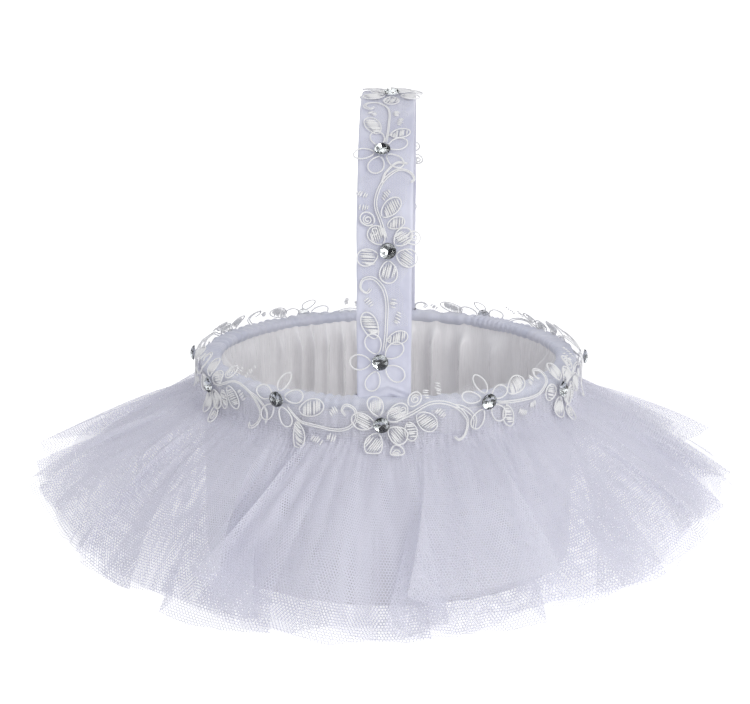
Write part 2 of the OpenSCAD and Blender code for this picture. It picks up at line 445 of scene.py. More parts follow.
def base_satin():
    """Satin disc under the tub, very slightly wavy away from its edge."""
    seed = default_rng(12).integers(0, 1000)

    def height(angle, r):
        sag = field_noise(default_rng(seed), r * np.sin(angle), r * np.cos(angle), 40)
        return 0.35 + 0.3 * sag * ease(97, 80, r) * 0.8

    disc_sheet("base_satin", "base_cover", "outer_satin", SATIN_WHITE, BASE_R, height,
               np.array([0.15, 0.35]))


def floor_pieces():
    """Wadding pad on the floor board, and its satin cover turned down round the edge."""

    def crown(angle, r):
        dimples = field_noise(default_rng(31), r * np.sin(angle), r * np.cos(angle), 34)
        return FLOOR_TOP + (0.9 + 0.35 * dimples) * ease(88, 60, r)

    disc_sheet("floor_satin", "floor_cover", "lining_satin", SATIN_LINING, LINING_IN - 0.1, crown,
               -np.linspace(0.5, FLOOR_TOP - FLOOR_LOW, 6))
    angle = turn(120)[:, None]
    half = np.linspace(0, np.pi, 12)
    r = np.concatenate([np.linspace(1, FOAM_R - 3, 18), FOAM_R - 3 + 2.6 * np.sin(half),
                        np.linspace(FOAM_R - 3, 1, 18)])
    thick = FOAM_TOP - FOAM_LOW
    z = np.concatenate([np.full(18, FOAM_TOP), FOAM_TOP - thick * (1 - np.cos(half)) / 2,
                        np.full(18, FOAM_LOW)])
    top = np.concatenate([np.ones(24), np.zeros(24)])
    swell = (crown(angle, r) - FLOOR_TOP) * top * 0.9
    points = round_the_basket(angle, r, z + swell)
    flat, quads, _ = grid(points, 0.0, 0.0, True, True)
    n = len(r)
    flat = np.vstack([flat, [[0, 0, FOAM_TOP + 0.8], [0, 0, FOAM_LOW]]])
    faces = quads.tolist()
    faces += [(len(flat) - 2, i * n, ((i + 1) % 120) * n) for i in range(120)]
    faces += [(len(flat) - 1, ((i + 1) % 120) * n + n - 1, i * n + n - 1) for i in range(120)]
    uv = np.concatenate([flat[list(f)][:, :2] * MM for f in faces])
    pad = make("floor_pad", flat, faces, uv, TAPE, ["floor_foam"], "wadding")


LINING_UV_R = 135.0  # mm, more than the wall's radius because the cloth is pleated


def pleated_lining():
    """Gathered satin on the inside wall: irregular pleats, deepest under the rim."""
    rng = default_rng(21)
    samples, rows = 1440, 44
    angle = turn(samples)
    down = np.linspace(0, 1, rows)
    z = LINING_TOP - 0.5 + (LINING_LOW + 0.6 - LINING_TOP) * down
    bend = 0.02 * ring_noise(rng, angle, [5, 8, 13])[:, None] * down
    wide, fine = (ring_phase(rng, angle, count, 0.8) for count in (40, 97))

    def at(values, shift):
        return np.interp(angle[:, None] + shift, np.append(angle, 2 * np.pi), np.append(values, values[0]))

    big = at(np.cos(wide + 0.7 * np.sin(wide)), bend)
    small = at(np.cos(fine), bend)
    strength = 0.6 + 0.4 * at(ring_noise(rng, angle, [6, 11, 17, 23]), 0)
    fold = np.clip(0.5 + 0.5 * big, 0, 1) ** 1.4 * strength
    depth = 8.0 * (1 - 0.5 * ease(0.3, 1, down)) * (0.1 + 0.9 * ease(0.03, 0.14, down))
    crimp = (1.0 * (1 - ease(0.1, 0.35, down)) + 0.25) * ease(0, 0.08, down)
    r = LINING_IN + 0.4 - depth * fold - crimp * (0.5 + 0.5 * small) * 0.8
    r = r + 0.25 * field_noise(rng, angle[:, None] * 90, z, 30) - 0.2
    r = np.minimum(r, LINING_IN + 0.5)
    points = round_the_basket(angle[:, None], r, z)
    piece = make("pleated_lining", *grid(points, closed_u(samples, LINING_UV_R), z * -MM, True, False),
                 SATIN_LINING, ["lining"], "lining_satin")


FOOT_R = 94  # mm, radius on which distances from the handle's feet are measured
ROLL_R = 95  # mm, radius of the middle of the roll, for its UV


def from_foot(angle):
    """Angle from the nearer of the handle's two feet."""
    away = np.abs((angle + np.pi) % (2 * np.pi) - np.pi)
    return np.minimum(away, np.pi - away)


def rim_roll():
    """Satin binding folded over the rim, puckered, slit where the handle comes up through it."""
    rng = default_rng(41)
    half = math.asin((HANDLE_W / 2 + 0.3) / FOOT_R)
    angle = turn(1080)
    for foot in (0, np.pi):
        for edge in (-half, half):
            away = (angle - foot - edge + np.pi) % (2 * np.pi) - np.pi
            k = np.argmin(np.abs(away))
            angle[k] -= away[k]
    r_in, r_out, low = LINING_IN - 1.3, RIM_R, RIM_LOW
    slit_in, slit_out = HANDLE_R - HANDLE_T - 0.15, HANDLE_R + 0.15
    corner = 2.5
    bow = np.linspace(0, np.pi / 2, 9)[1:]
    turned_in, turned_z = corner * (1 - np.cos(bow)), RIM_TOP - corner * (1 - np.sin(bow))
    r = np.concatenate([r_in + 2.6 * np.linspace(1, 0, 9) ** 2, r_in + turned_in,
                        [slit_in, (slit_in + slit_out) / 2, slit_out],
                        r_out - turned_in[::-1], np.full(9, r_out)])
    z = np.concatenate([np.linspace(RIM_TOP - 6.5, RIM_TOP - corner, 9), turned_z,
                        [RIM_TOP, RIM_TOP + 0.25, RIM_TOP],
                        turned_z[::-1], np.linspace(RIM_TOP - corner, low, 9)])
    a = angle[:, None]
    out = (r - (r_in + r_out) / 2) / ((r_out - r_in) / 2)
    side = np.abs(out)
    pucker = ring_phase(rng, angle, 116, 0.6)
    lump = ring_noise(rng, a, [11, 17, 26, 37])
    press = 0.42 * np.cos(pucker)[:, None] + 0.35 * lump
    roof = ease(low + 4, RIM_TOP, z)
    gap = np.maximum(0, from_foot(a) - half) * FOOT_R
    collar = np.exp(-(gap / 2.5)) * np.exp(-((out * 5 / 2.2) ** 2))
    near = np.exp(-(gap / 5))
    r_all = r + np.sign(out) * side**2 * press * 0.8
    z_all = z + roof * (press * 0.9 - 0.15) + 0.9 * collar + 0.5 * near * roof
    points = round_the_basket(a, r_all, z_all)
    length = running(np.hypot(np.diff(r), np.diff(z))) * MM
    edges = np.append(angle, 2 * np.pi)
    u = edges[:, None] * ROLL_R * MM
    in_foot = from_foot((edges[:-1] + edges[1:]) / 2) < half
    middle_r = (r[:-1] + r[1:]) / 2
    in_slit = (middle_r > slit_in - 0.01) & (middle_r < slit_out + 0.01)
    keep = ~(in_foot[:, None] & in_slit)
    piece = make("rim_roll", *grid(points, u, length, True, False, keep),
                 SATIN_RIM, ["rim_binding"], "rim_satin")


# ---- handle

QUARTER = math.pi / 2
CREASE_Z = 112.5  # mm, height about which the creases at the front foot lie


def on_handle(q, r):
    """Height and Y of a point at path length q from the handle's top (front is positive) on the arc
    of radius r, with the outward normal's Y and Z."""
    q = np.asarray(q, float)
    quarter = QUARTER * r
    t = np.clip(q / r, -QUARTER, QUARTER)
    past = np.maximum(0, np.abs(q) - quarter)
    return -r * np.sin(t), ARCH_Z + r * np.cos(t) - past, -np.sin(t), np.cos(t)


def handle_satin():
    """Satin sleeve over the strip: rounded edges, drag lines, and creases at the front foot."""
    rng = default_rng(51)
    mid = HANDLE_R - HANDLE_T / 2
    reach = QUARTER * mid + ARCH_Z - HANDLE_LOW - 0.2
    q = np.linspace(-reach, reach, 620)
    w, t, c = HANDLE_W / 2, HANDLE_T / 2, 1.35
    bow = np.linspace(0, np.pi / 2, 6)[1:]
    face = np.linspace(0.5, w - c, 12)
    half_x = np.concatenate([face, w - c + c * np.sin(bow), w - c + c * np.cos(bow), face[-2::-1], [0]])
    half_n = np.concatenate([0 * face + t, t - c + c * np.cos(bow), -(t - c) - c * np.sin(bow), 0 * face - t])
    x = np.concatenate([-half_x[::-1], half_x])
    n = np.concatenate([half_n[::-1], half_n])
    y, z, ny, nz = on_handle(q, mid)
    x2, q2 = np.broadcast_arrays(x[:, None], q[None])
    outer = np.sign(n)[:, None]
    side = outer * np.abs(n[:, None] / t) ** 3
    creep = 0.10 * field_noise(rng, x2 * 0.7 + 3, q2 + outer * 9, 13)
    creep += 0.07 * field_noise(rng, x2 * 1.4, q2 + outer * 5, 5)
    front = np.clip(n[:, None] / t, 0, 1)
    for fall, centre, height in ((-1.5, 2.0, 0.9), (2.2, 3.5, 1.0), (5.4, 1.0, 0.8)):
        line = reach - (CREASE_Z - HANDLE_LOW) + fall + 0.42 * np.abs(x2 - centre)
        fold = np.exp(-(((q2 - line) / 1.1) ** 2)) - 0.5 * np.exp(-(((q2 - line - 1.9) / 1.0) ** 2))
        creep += height * front * fold * ease(12, 6, np.abs(x2 - centre))
    dip = -0.35 * ease(w - 4.5, w - 3.3, np.abs(x2)) * ease(w - 1.2, w - 2.6, np.abs(x2)) * np.abs(side)
    off = n[:, None] + side * (creep + 0.25 * dip)
    wide = x2 * (1 + 0.03 * np.cos(np.pi * q2 / reach) + 0.006 * field_noise(rng, 0 * q2, q2, 25))
    points = np.stack([wide, y[None] + ny[None] * off, z[None] + nz[None] * off], -1)
    u = running(np.hypot(np.diff(x), np.diff(n)))[:, None] * MM
    piece = make("handle_satin", *grid(points, u, q[None] * MM, False, False),
                 SATIN_HANDLE, ["handle_sleeve"], "handle_satin")


# ---- skirt


def gathering_tape():
    rng = default_rng(61)
    samples = 900
    angle = turn(samples)
    pucker = ring_phase(rng, angle, 170, 0.4)
    down = np.linspace(TAPE_TOP, TAPE_LOW, 14)
    r = RIM_R + 0.35 + 0.12 * np.cos(pucker)[:, None] + 0 * down
    points = round_the_basket(angle[:, None], r, down)
    piece = make("gathering_tape", *grid(points, closed_u(samples, RIM_R), -down * MM, True, True),
                 TAPE, ["skirt_heading"], "tape")


CUT_LENGTHS = (113.0, 107.0, 111.0, 103.0)  # mm, from the tape to the hem, layer by layer
HEM_R = 165  # mm, radius on which lengths along the hem are measured


def hem_target(layer, angle):
    """Radius and height of the middle line of a layer's hem: it hangs closest at the front, and the
    outer layers stand out furthest at the sides."""
    side = np.sin(angle) ** 2
    back = ease(0.0, -1.0, np.cos(angle))
    r = (151, 155, 160, 164)[layer] + (27, 33, 36, 31)[layer] * side + 8 * back
    r = r + 5 * np.maximum(0, -np.sin(angle)) ** 2
    z = (14, 15, 17, 19)[layer] + (-1, 3, 8, 19)[layer] * side
    return r, z


# One fold each: (share of its width, share of its depth) of the corners of the hem, seen from above
FOLDS = (
    ((0, -0.8), (0.95, 1.0), (0.60, -0.2)),
    ((0, -0.8), (0.40, -0.2), (0.05, 1.0)),
    ((0, -0.8), (0.34, -0.35), (0.10, 0.85), (0.50, 1.05), (0.90, 0.85), (0.66, -0.35)),
    ((0, -0.8), (0.50, 1.0)),
)


def folded_hem(rng, count, samples):
    """Angle and outward offset of the folded hem, in equal steps along the cloth, and the angle
    at which the cloth leaves the gathers."""
    width = rng.uniform(0.55, 1.6, count)
    width *= 2 * np.pi / width.sum()
    start = running(width)[:-1]
    kind = rng.choice(4, count, p=(0.32, 0.32, 0.16, 0.2))
    angle, out, rise = [], [], []
    for k in range(count):
        deep = rng.uniform(0.62, 1.15) * min(1.25, 0.45 + 0.55 * width[k] * count / (2 * np.pi)) * 14.5
        high = rng.uniform(-8, 8)
        for x, y in FOLDS[kind[k]]:
            angle.append(start[k] + width[k] * (x + rng.uniform(-0.05, 0.05)))
            out.append(deep * (y + rng.uniform(-0.12, 0.12)))
            rise.append(high + rng.uniform(-4.5, 4.5))
    angle = np.array(angle + [angle[0] + 2 * np.pi])
    out, rise = np.array(out + [out[0]]), np.array(rise + [rise[0]])
    length = running(np.hypot(np.diff(angle) * HEM_R, np.diff(out)))
    even = np.arange(samples) / samples * length[-1]
    angle, out, rise = (np.interp(even, length, line) for line in (angle, out, rise))
    gathered = turn(samples) + angle[0]
    drift = angle - gathered
    # a soft rounding of the fold edges
    for _ in range(3):
        drift, out = ((np.roll(line, 1) + 2 * line + np.roll(line, -1)) / 4 for line in (drift, out))
    return gathered, drift, out, rise


def tulle_layer(layer, node):
    """One gathered tulle layer: crimped at the tape, opening into straight folds that lap over each
    other. Every thread column keeps the same length, so the hem steps up and down with the folds."""
    rng = default_rng(704 + layer)
    samples, rows = 1500, 44
    gathered, drift, out, rise = folded_hem(rng, (15, 14, 15, 13)[layer], samples)
    angle = turn(samples)
    fall = np.linspace(0, 1.25, 61)
    # a column starts at its gather and drifts to its place in the folds
    a = gathered[:, None] + drift[:, None] * (0.10 + 0.90 * fall) * ease(-0.05, 0.12, fall)
    r_hem, z_hem = hem_target(layer, a)
    z_hem = z_hem + rise[:, None]
    r_top = RIM_R + 0.75 + 0.32 * layer
    bend_z = TAPE_LOW + 7.5 - 1.2 * layer
    droop = 1 + (0.16 + 0.03 * layer) * (1 - fall)
    soft = ease(-0.02, 0.15, fall)
    r = r_top + (r_hem - r_top) * fall * droop * soft
    z = bend_z + (z_hem - bend_z) * fall * (1.04 - 0.14 * (1 - fall) * fall)
    square = out[:, None] * fall**1.1
    mid = ring_phase(rng, angle, 58 + 3 * layer, 0.5)
    mid_size = (1.3 + 0.8 * ring_noise(rng, angle, [5, 9, 14]))[:, None]
    square += mid_size * np.cos(mid)[:, None] * ease(0, 0.3, fall) * (1 - 0.95 * np.minimum(1, fall))
    slope_r, slope_z = np.gradient(r, axis=1), np.gradient(z, axis=1)
    long = np.hypot(slope_r, slope_z) + 1e-9
    r, z = r - slope_z / long * square, z + slope_r / long * square
    # the head behind the lace, then every column cut to the same length
    head = np.linspace(0, 1, 9)[:-1]
    top = TAPE_TOP - 0.8
    a, r = (np.hstack([np.repeat(grown[:, :1], 8, 1), grown]) for grown in (a, r))
    z = np.hstack([top + (z[:, :1] - top) * head, z])
    points = round_the_basket(a, r, z)
    steps = np.linalg.norm(np.diff(points, axis=1), axis=2)
    length = np.hstack([np.zeros((samples, 1)), np.cumsum(steps, axis=1)])
    cut = CUT_LENGTHS[layer] + 2.6 * ring_noise(rng, angle, [5, 8, 13, 21])
    cut = cut + 6 * np.maximum(0, -np.sin(angle)) ** 2
    wanted = np.linspace(0, 1, rows) ** 1.05 * cut[:, None]
    points = np.stack([
        np.stack([np.interp(wanted[i], length[i], points[i, :, k]) for k in range(3)], 1)
        for i in range(samples)
    ])
    # the crimp of the gathers dies out down the cloth
    crimp = ring_phase(rng, angle, 150 + 6 * layer, 0.5)
    radial = points * [1, 1, 0]
    radial /= np.linalg.norm(radial, axis=2, keepdims=True)
    fade = 1 - ease(14, 52, wanted)
    size = 0.8 * np.cos(crimp)[:, None] * fade * (0.4 + 0.6 * ease(2, 20, wanted))
    points = points + radial * size[..., None]
    points[..., 2] = np.maximum(points[..., 2], 1.0 + 0.3 * layer)
    row = points[:, int(rows * 0.85)]
    u = running(np.linalg.norm(np.roll(row, -1, 0) - row, axis=1))[:, None] * MM
    v = np.vstack([wanted, wanted[:1]]) * MM
    piece = make(f"tulle_{layer + 1}", *grid(points, u, v, True, True), TULLE_NET, [node], "tulle")


# ---- lace


CORD_SIDES = 6
# Length in mm of one stretch of trim as it is drawn; it is then fitted to the gap between two stones
SPRIG_SPAN = 58.66
# Heights in mm below which the rim's trim leans out over the skirt, and below which it is drawn in
TRIM_LEANS, TRIM_FOOT = 94.5, 83.5


def unit(rows):
    """The same vectors with a length of 1."""
    return rows / (np.linalg.norm(rows, axis=1, keepdims=True) + 1e-9)


class Cords:
    """Round cords laid along lines, gathered into one mesh."""

    def __init__(self):
        self.points, self.faces, self.uv, self.count = [], [], [], 0

    def add(self, line, normal, radius):
        """A cord of that radius in mm along a line, with the surface's normal at each point."""
        k, n = CORD_SIDES, len(line)
        along = unit(np.gradient(line, axis=0))
        across = unit(np.cross(along, normal))
        up = np.cross(across, along)
        around = turn(k)[None, :, None]
        end = np.minimum(np.arange(n), np.arange(n)[::-1])
        share = (1 - 0.5 * np.exp(-end / 1.2)) * np.where(end == 0, 0.45, 1)
        ring = up[:, None] * np.cos(around) + across[:, None] * np.sin(around)
        body = line[:, None] + radius * share[:, None, None] * ring
        i, j = np.meshgrid(np.arange(n - 1), np.arange(k), indexing="ij")
        i, j = i.ravel(), j.ravel()
        j2 = (j + 1) % k
        quads = np.stack([i * k + j, i * k + j2, (i + 1) * k + j2, (i + 1) * k + j], 1) + self.count
        length = running(np.linalg.norm(np.diff(line, axis=0), axis=1)) * MM
        girth = 2 * np.pi * radius / k * MM
        corners = ((0, 0), (0, 1), (1, 1), (1, 0))
        uv = np.stack([np.stack([length[i + a], (j + b) * girth], -1) for a, b in corners], 1)
        self.faces += quads.tolist()
        self.uv.append(uv.reshape(-1, 2))
        first = [self.count + q for q in range(k)][::-1]
        last = [self.count + (n - 1) * k + q for q in range(k)]
        self.faces += [first, last]
        self.uv.append(np.zeros((2 * k, 2)))
        self.points.append(body.reshape(-1, 3))
        self.count += n * k

    def build(self, name, node):
        return make(name, np.vstack(self.points), self.faces, np.vstack(self.uv), CORD, [node], "lace_cord")


def placed(x, y, cx, cy, angle):
    """Points x, y turned by angle and moved to cx, cy."""
    c, s = math.cos(angle), math.sin(angle)
    return np.stack([cx + x * c - y * s, cy + x * s + y * c], 1)


def loop(cx, cy, angle, length, width, inner=0.35):
    """Outline of a petal or leaf: an oval drawn from its stalk end, narrower there by inner."""
    t = np.linspace(-np.pi, np.pi, 41)
    across = np.sin(t) * (1 - inner * (0.5 - 0.5 * np.cos(t)) ** 2)
    return placed(np.cos(t) * length / 2, across * width / 2, cx, cy, angle)


def strokes(cx, cy, angle, length, width, count, slant, fill):
    """Satin stitches side by side across a leaf, as long as fill of its width."""
    out = []
    for t in np.linspace(-0.72, 0.74, count):
        half = width / 2 * math.sqrt(1 - t * t) * fill
        y = np.linspace(-0.9 * half, 0.9 * half, 5)
        out.append(placed(t * length / 2 * 0.92 + slant * y, y, cx, cy, angle))
    return out


def spiral(cx, cy, size, start, turns=1.6):
    t = np.linspace(0, 1, 34)
    a = start + 2 * np.pi * turns * t
    r = size * (1 - 0.72 * t)
    return np.stack([cx + r * np.cos(a), cy + r * np.sin(a)], 1)


def beside(line, gap):
    """The same line moved sideways by gap."""
    x, y = unit(np.gradient(line, axis=0)).T
    return line + gap * np.stack([-y, x], 1)


def filled_flower(rng):
    """Five outlined petals with stitches across them."""
    out = []
    for k, angle in enumerate((38, 108, 180, 250, 322)):
        a = math.radians(angle + rng.uniform(-6, 6))
        far = 9.4 + rng.uniform(-0.5, 0.9)
        cx, cy = far * math.cos(a), far * math.sin(a)
        long, wide = 10.4 + rng.uniform(-0.6, 0.9), 8.6 + rng.uniform(-0.6, 0.7)
        out.append((loop(cx, cy, a, long, wide), 0.38, 0.25 + 0.12 * k))
        for stitch in strokes(cx, cy, a + QUARTER, wide, long, 7, 0.3, 0.82):
            out.append((stitch, 0.46, 0.25 + 0.12 * k))
    return out


def open_flower(rng):
    """Five petals in a single outline."""
    out = []
    for k, angle in enumerate((92, 22, 163, 233, 305)):
        a = math.radians(angle + rng.uniform(-7, 7))
        far = 9.0 + rng.uniform(-0.4, 0.9)
        petal = loop(far * math.cos(a), far * math.sin(a), a, 10.2, 7.6 + rng.uniform(-0.7, 0.9))
        out.append((petal, 0.36, 0.2 + 0.15 * k))
    return out


def comb(cx, cy, angle, rng, count=5):
    """A row of short parallel stitches."""
    out = []
    for k in range(count):
        x = (k - (count - 1) / 2) * 1.35
        y = np.linspace(-2.0, 2.0, 5) * (1 - 0.25 * abs(k - 2) / 2) * rng.uniform(0.85, 1.1)
        out.append((placed(x, y + 0.2 * x, cx, cy, angle), 0.46, 0.2))
    return out


def leaf(cx, cy, angle, length, width, rungs, level):
    """A leaf with one outline, filled with a row of slanted satin stitches."""
    a = math.radians(angle)
    out = [(loop(cx, cy, a, length, width, 0.25), 0.34, level)]
    out += [(stitch, 0.52, level) for stitch in strokes(cx, cy, a, length, width, rungs + 2, 0.45, 0.88)]
    return out


def vine(points, gap=0.46):
    """A stalk of two cords side by side."""
    line = spline(points)
    return [(beside(line, offset), 0.33, 0.3) for offset in (gap, -gap)]


def sprig_from_filled(rng):
    """The stretch of trim to the right of a filled flower, up to the next open one."""
    out = vine([(7, -0.8), (16, 2.2), (25, 5.2), (33, 4.2), (41, 0.2), (46.5, -6.8), (45, -12.8),
                (41, -15.3), (38.5, -13.3)])
    out += vine([(38, 2.2), (45, -0.3), (51, -6), (50.5, -12)], 0.42)
    out += leaf(24, -3.6, -42, 13.5, 8.6, 6, 0.45)
    out += leaf(15.5, -6.2, -70, 9.5, 6.6, 4, 0.35)
    out += [(loop(17.8, 9.3, 0.9, 8.2, 7.0, 0.1), 0.40, 0.4), (spiral(17.8, 9.3, 2.6, 0.4), 0.36, 0.45)]
    out += [(spiral(11.4, 5.2, 2.4, 2.2, 1.2), 0.34, 0.3)]
    out += [(loop(7.6, -15.4, math.radians(-70), 7.6, 7.4, 0.2), 0.40, 0.6)]
    out += [(spiral(7.8, -16, 2.3, 0), 0.36, 0.55)]
    out += comb(24.2, 11.0, 1.35, rng, 4) + comb(31.6, 12.6, 1.1, rng) + comb(31.4, -0.6, -0.9, rng)
    return out


def sprig_from_open(rng, sag=0.0):
    """The stretch of trim to the right of an open flower, up to the next filled one. It can hang
    lower by sag where the trim was stitched down in a curve."""
    out = vine([(6, 0.3), (14, -0.7), (24, -1.2), (33, -1.2), (40, 0.8), (45, 5.8), (44.5, 11.3), (40, 12.8),
                (37.5, 9.6), (39.8, 7.2)])
    out += leaf(20.5, 7.4, 24, 15.2, 8.8, 8, 0.4)
    out += leaf(13.6, -7.4, -72, 11.0, 7.4, 5, 0.35)
    out += vine([(12, -1.0), (13.2, -3.8)], 0.3)
    out += comb(24.2, -7.4, -0.5, rng, 5) + comb(32, -5.0, -0.2, rng, 4) + comb(32.6, 8.0, 0.6, rng, 4)
    return [(line - np.stack([0 * line[:, 0], sag * ease(1, 16, line[:, 0])], 1), *rest)
            for line, *rest in out]


def trim_parts(rng, filled, rise, span, tall, lift, sag=0.0):
    """Cords of a flower moved up by rise, and of the sprig to its right if span says how long it is."""
    flower = filled_flower(rng) if filled else open_flower(rng)
    parts = [(line + np.array([0, rise]), radius, level) for line, radius, level in flower]
    if span is not None:
        sprig = sprig_from_filled(rng) if filled else sprig_from_open(rng, sag)
        size = np.array([span / SPRIG_SPAN, tall])
        parts += [(line * size, radius, level * lift) for line, radius, level in sprig]
    return parts


# Angle and height of every rim stone, from the front round to the right
rim_places = [(math.atan2(x, -y) % (2 * math.pi), z) for x, y, z in map(middle_of, RIM_STONES)]
rim_places.sort(key=lambda item: (item[0] + 0.1) % (2 * math.pi))


def trim_line(angle):
    """Height of the trim's middle line: it dips by 5 mm where it passes a handle foot."""
    return RIM_TOP - 4 - 5 * np.exp(-((np.degrees(from_foot(angle)) / 14) ** 2))


def rim_surface(angle, z, lift):
    """Where the trim lies: upright round the rim, leaning out over the skirt below it."""
    lean = 0.055 * np.maximum(0, TRIM_LEANS - z) ** 1.9
    above = np.maximum(0, z - RIM_TOP)
    r = LACE_R + 0.2 + lean + lift - 0.035 * np.maximum(0, z - 105) ** 2 - 0.2 * above
    z = z - 0.28 * above
    slope = 0.1 * np.maximum(0, TRIM_LEANS - z) ** 0.9
    points = round_the_basket(angle, r, z)
    normal = np.stack([np.sin(angle), -np.cos(angle), slope], -1)
    return points, normal / np.linalg.norm(normal, axis=-1, keepdims=True)


def rim_lace():
    cords = Cords()
    rng = default_rng(81)
    count = len(rim_places)
    for k, (angle, z) in enumerate(rim_places):
        following = rim_places[(k + 1) % count][0]
        span = ((following - angle) % (2 * np.pi)) * LACE_R
        offset = z - float(trim_line(np.array(angle)))
        sag = 7.5 * (k == count - 1)
        for line, radius, level in trim_parts(rng, k % 2 == 0, offset, span, 1, 0.6, sag):
            wobble = 0.18 * rng.standard_normal(2)
            a = angle + (line[:, 0] + wobble[0]) / LACE_R
            height = trim_line(a) + line[:, 1] + wobble[1]
            height = np.where(height < TRIM_FOOT, TRIM_FOOT + 0.25 * (height - TRIM_FOOT), height)
            points, normal = rim_surface(a, height, 0.8 * level + rng.uniform(-0.05, 0.1))
            cords.add(points, normal, radius)
    return cords.build("rim_lace_cords", "rim_lace_flowers")


def rim_net():
    rng = default_rng(82)
    samples, rows = 900, 22
    angle = turn(samples)
    line = trim_line(angle)
    top = line + 9.6 + 2.2 * ring_noise(rng, angle, [22, 33, 47])
    low = line - 10.5 + 1.8 * ring_noise(rng, angle, [22, 31, 52])
    share = np.linspace(0, 1, rows)[None]
    z = top[:, None] + (low - top)[:, None] * share
    ruffle = 0.15 * np.cos(ring_phase(rng, angle, 90, 0.4))[:, None] * np.ones_like(share)
    points, _ = rim_surface(angle[:, None] + 0 * z, z, ruffle - 0.1)
    v = -np.vstack([z, z[:1]]) * MM
    return make("rim_lace_net", *grid(points, closed_u(samples, LACE_R), v, True, True), LACE_NET,
                ["rim_lace"], "lace_net")


def handle_surface(q, x, lift):
    """Where the trim lies on the handle, curling over slightly past the strip's edges."""
    past = np.maximum(0, np.abs(x) - HANDLE_W / 2 + 0.8)
    off = lift + 0.35 - 0.10 * past**1.5
    y, z, ny, nz = on_handle(q, HANDLE_LACE_R - 0.35)
    points = np.stack([x, y + ny * off, z + nz * off], -1)
    normal = np.stack([0 * x, ny, nz], -1)
    return points, normal


def handle_lace():
    cords = Cords()
    rng = default_rng(91)
    places = []
    for x, y, z in map(middle_of, HANDLE_STONES):
        if z > ARCH_Z:
            q = math.atan2(y, z - ARCH_Z) * HANDLE_LACE_R
        else:
            q = math.copysign(QUARTER * HANDLE_LACE_R + ARCH_Z - z, y)
        places.append((q, -x))
    places.sort()
    middle = len(places) // 2
    for k, (x0, y0) in enumerate(places):
        span = places[k + 1][0] - x0 if k + 1 < len(places) else None
        for line, radius, level in trim_parts(rng, abs(k - middle) % 2 == 0, y0, span, 0.9, 1):
            wobble = 0.18 * rng.standard_normal(2)
            points, normal = handle_surface(-(x0 + line[:, 0] + wobble[0]), -(line[:, 1] + wobble[1]),
                                            level + rng.uniform(-0.05, 0.15))
            cords.add(points, normal, radius)
    return cords.build("handle_lace_cords", "handle_lace_flowers"), places


def handle_net(places):
    rng = default_rng(92)
    reach = places[-1][0] + 9
    q = np.linspace(-reach, reach, 520)
    half = HANDLE_W / 2 - 2.8 + 1.6 * field_noise(rng, q, 0 * q, 16)
    x = np.linspace(-1, 1, 16)[None] * half[:, None]
    points, _ = handle_surface(q[:, None] + 0 * x, x, -0.2)
    return make("handle_lace_net", *grid(points, q[:, None] * MM, x * MM, False, True), LACE_NET,
                ["handle_lace"], "lace_net")


# ---- rhinestones


def stone_mesh(size):
    """Cut glass crown over a shallow foiled back, 16 sides at the girdle and 8 at the table."""

    def ring(share, height, sides, turned):
        a = np.radians(turned) + np.arange(sides) * 2 * np.pi / sides
        r = share * size / 2
        return np.stack([r * np.cos(a), r * np.sin(a), np.full(sides, height * size)], 1)

    table, star = ring(0.52, 0.34, 8, 0), ring(0.8, 0.27, 8, 22.5)
    girdle, under = ring(1, 0.16, 16, 0), ring(1, 0.1, 16, 0)
    point = np.array([[0, 0, 0.01 * size]])
    points = np.vstack([table, star, girdle, under, point]) * MM
    faces = [list(range(8))]
    for k in range(8):
        j, p = (k + 1) % 8, (k - 1) % 8
        g, g1, g2 = 16 + 2 * k, 17 + 2 * k, 16 + (2 * k + 2) % 16
        faces += [[k, 8 + k, j], [k, 8 + p, g], [k, g, 8 + k], [8 + k, g, g1], [8 + k, g1, g2]]
    for k in range(16):
        j = (k + 1) % 16
        faces += [[16 + k, 32 + k, 32 + j, 16 + j], [32 + k, 48, 32 + j]]
    mesh = bpy.data.meshes.new("rhinestone")
    mesh.from_pydata(points.tolist(), [], faces)
    mesh.materials.append(GLASS)
    mesh.materials.append(FOIL)
    for face in mesh.polygons:
        face.material_index = int(face.center.z < 0.09 * size * MM)
    layer = mesh.uv_layers.new(name="UVMap")
    for corner, item in zip(mesh.loops, layer.data):
        item.uv = mesh.vertices[corner.vertex_index].co.xy
    mesh.update()
    return mesh


def stones():
    """One stone in the place of each CAD one, turned and tilted a little, all sharing one mesh."""
    shared = None
    for name in RIM_STONES + HANDLE_STONES:
        centre = middle_of(name)
        x, y, z = centre
        out = Vector((x, y, 0) if name in RIM_STONES else (0, y, max(0, z - ARCH_Z))).normalized()
        spread = np.array([v.co for v in frame["nodes"][name].data.vertices]) / MM - centre
        along = spread @ np.array(out)
        foot = centre + np.array(out) * along.min()
        if shared is None:
            far = spread - np.outer(along, np.array(out))
            shared = stone_mesh(2 * np.linalg.norm(far, axis=1).max())
        piece = put(name.replace("rhinestone", "stone"), shared)
        across = Vector((0, 0, 1)).cross(out)
        if across.length < 0.1:
            across = Vector((1, 0, 0))
        across.normalize()
        turned = Matrix((across, out.cross(across), out)).transposed().to_4x4()
        lean = Matrix.Rotation(0.06 * math.sin(7 * x + z), 4, "X")
        spin = Matrix.Rotation(0.9 * math.sin(3 * x + 2 * y), 4, "Z")
        piece.matrix_world = Matrix.Translation(Vector(foot) * MM) @ turned @ lean @ spin
        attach(piece, "root")
        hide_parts(name)


# ---- build

base_satin()
tub_satin()
floor_pieces()
pleated_lining()
rim_roll()
handle_satin()
gathering_tape()
for layer, node in enumerate(TULLE):
    tulle_layer(layer, node)
cords = rim_lace()
ground = rim_net()
cords, places = handle_lace()
ground = handle_net(places)
stones()


# ---- floor, light and camera


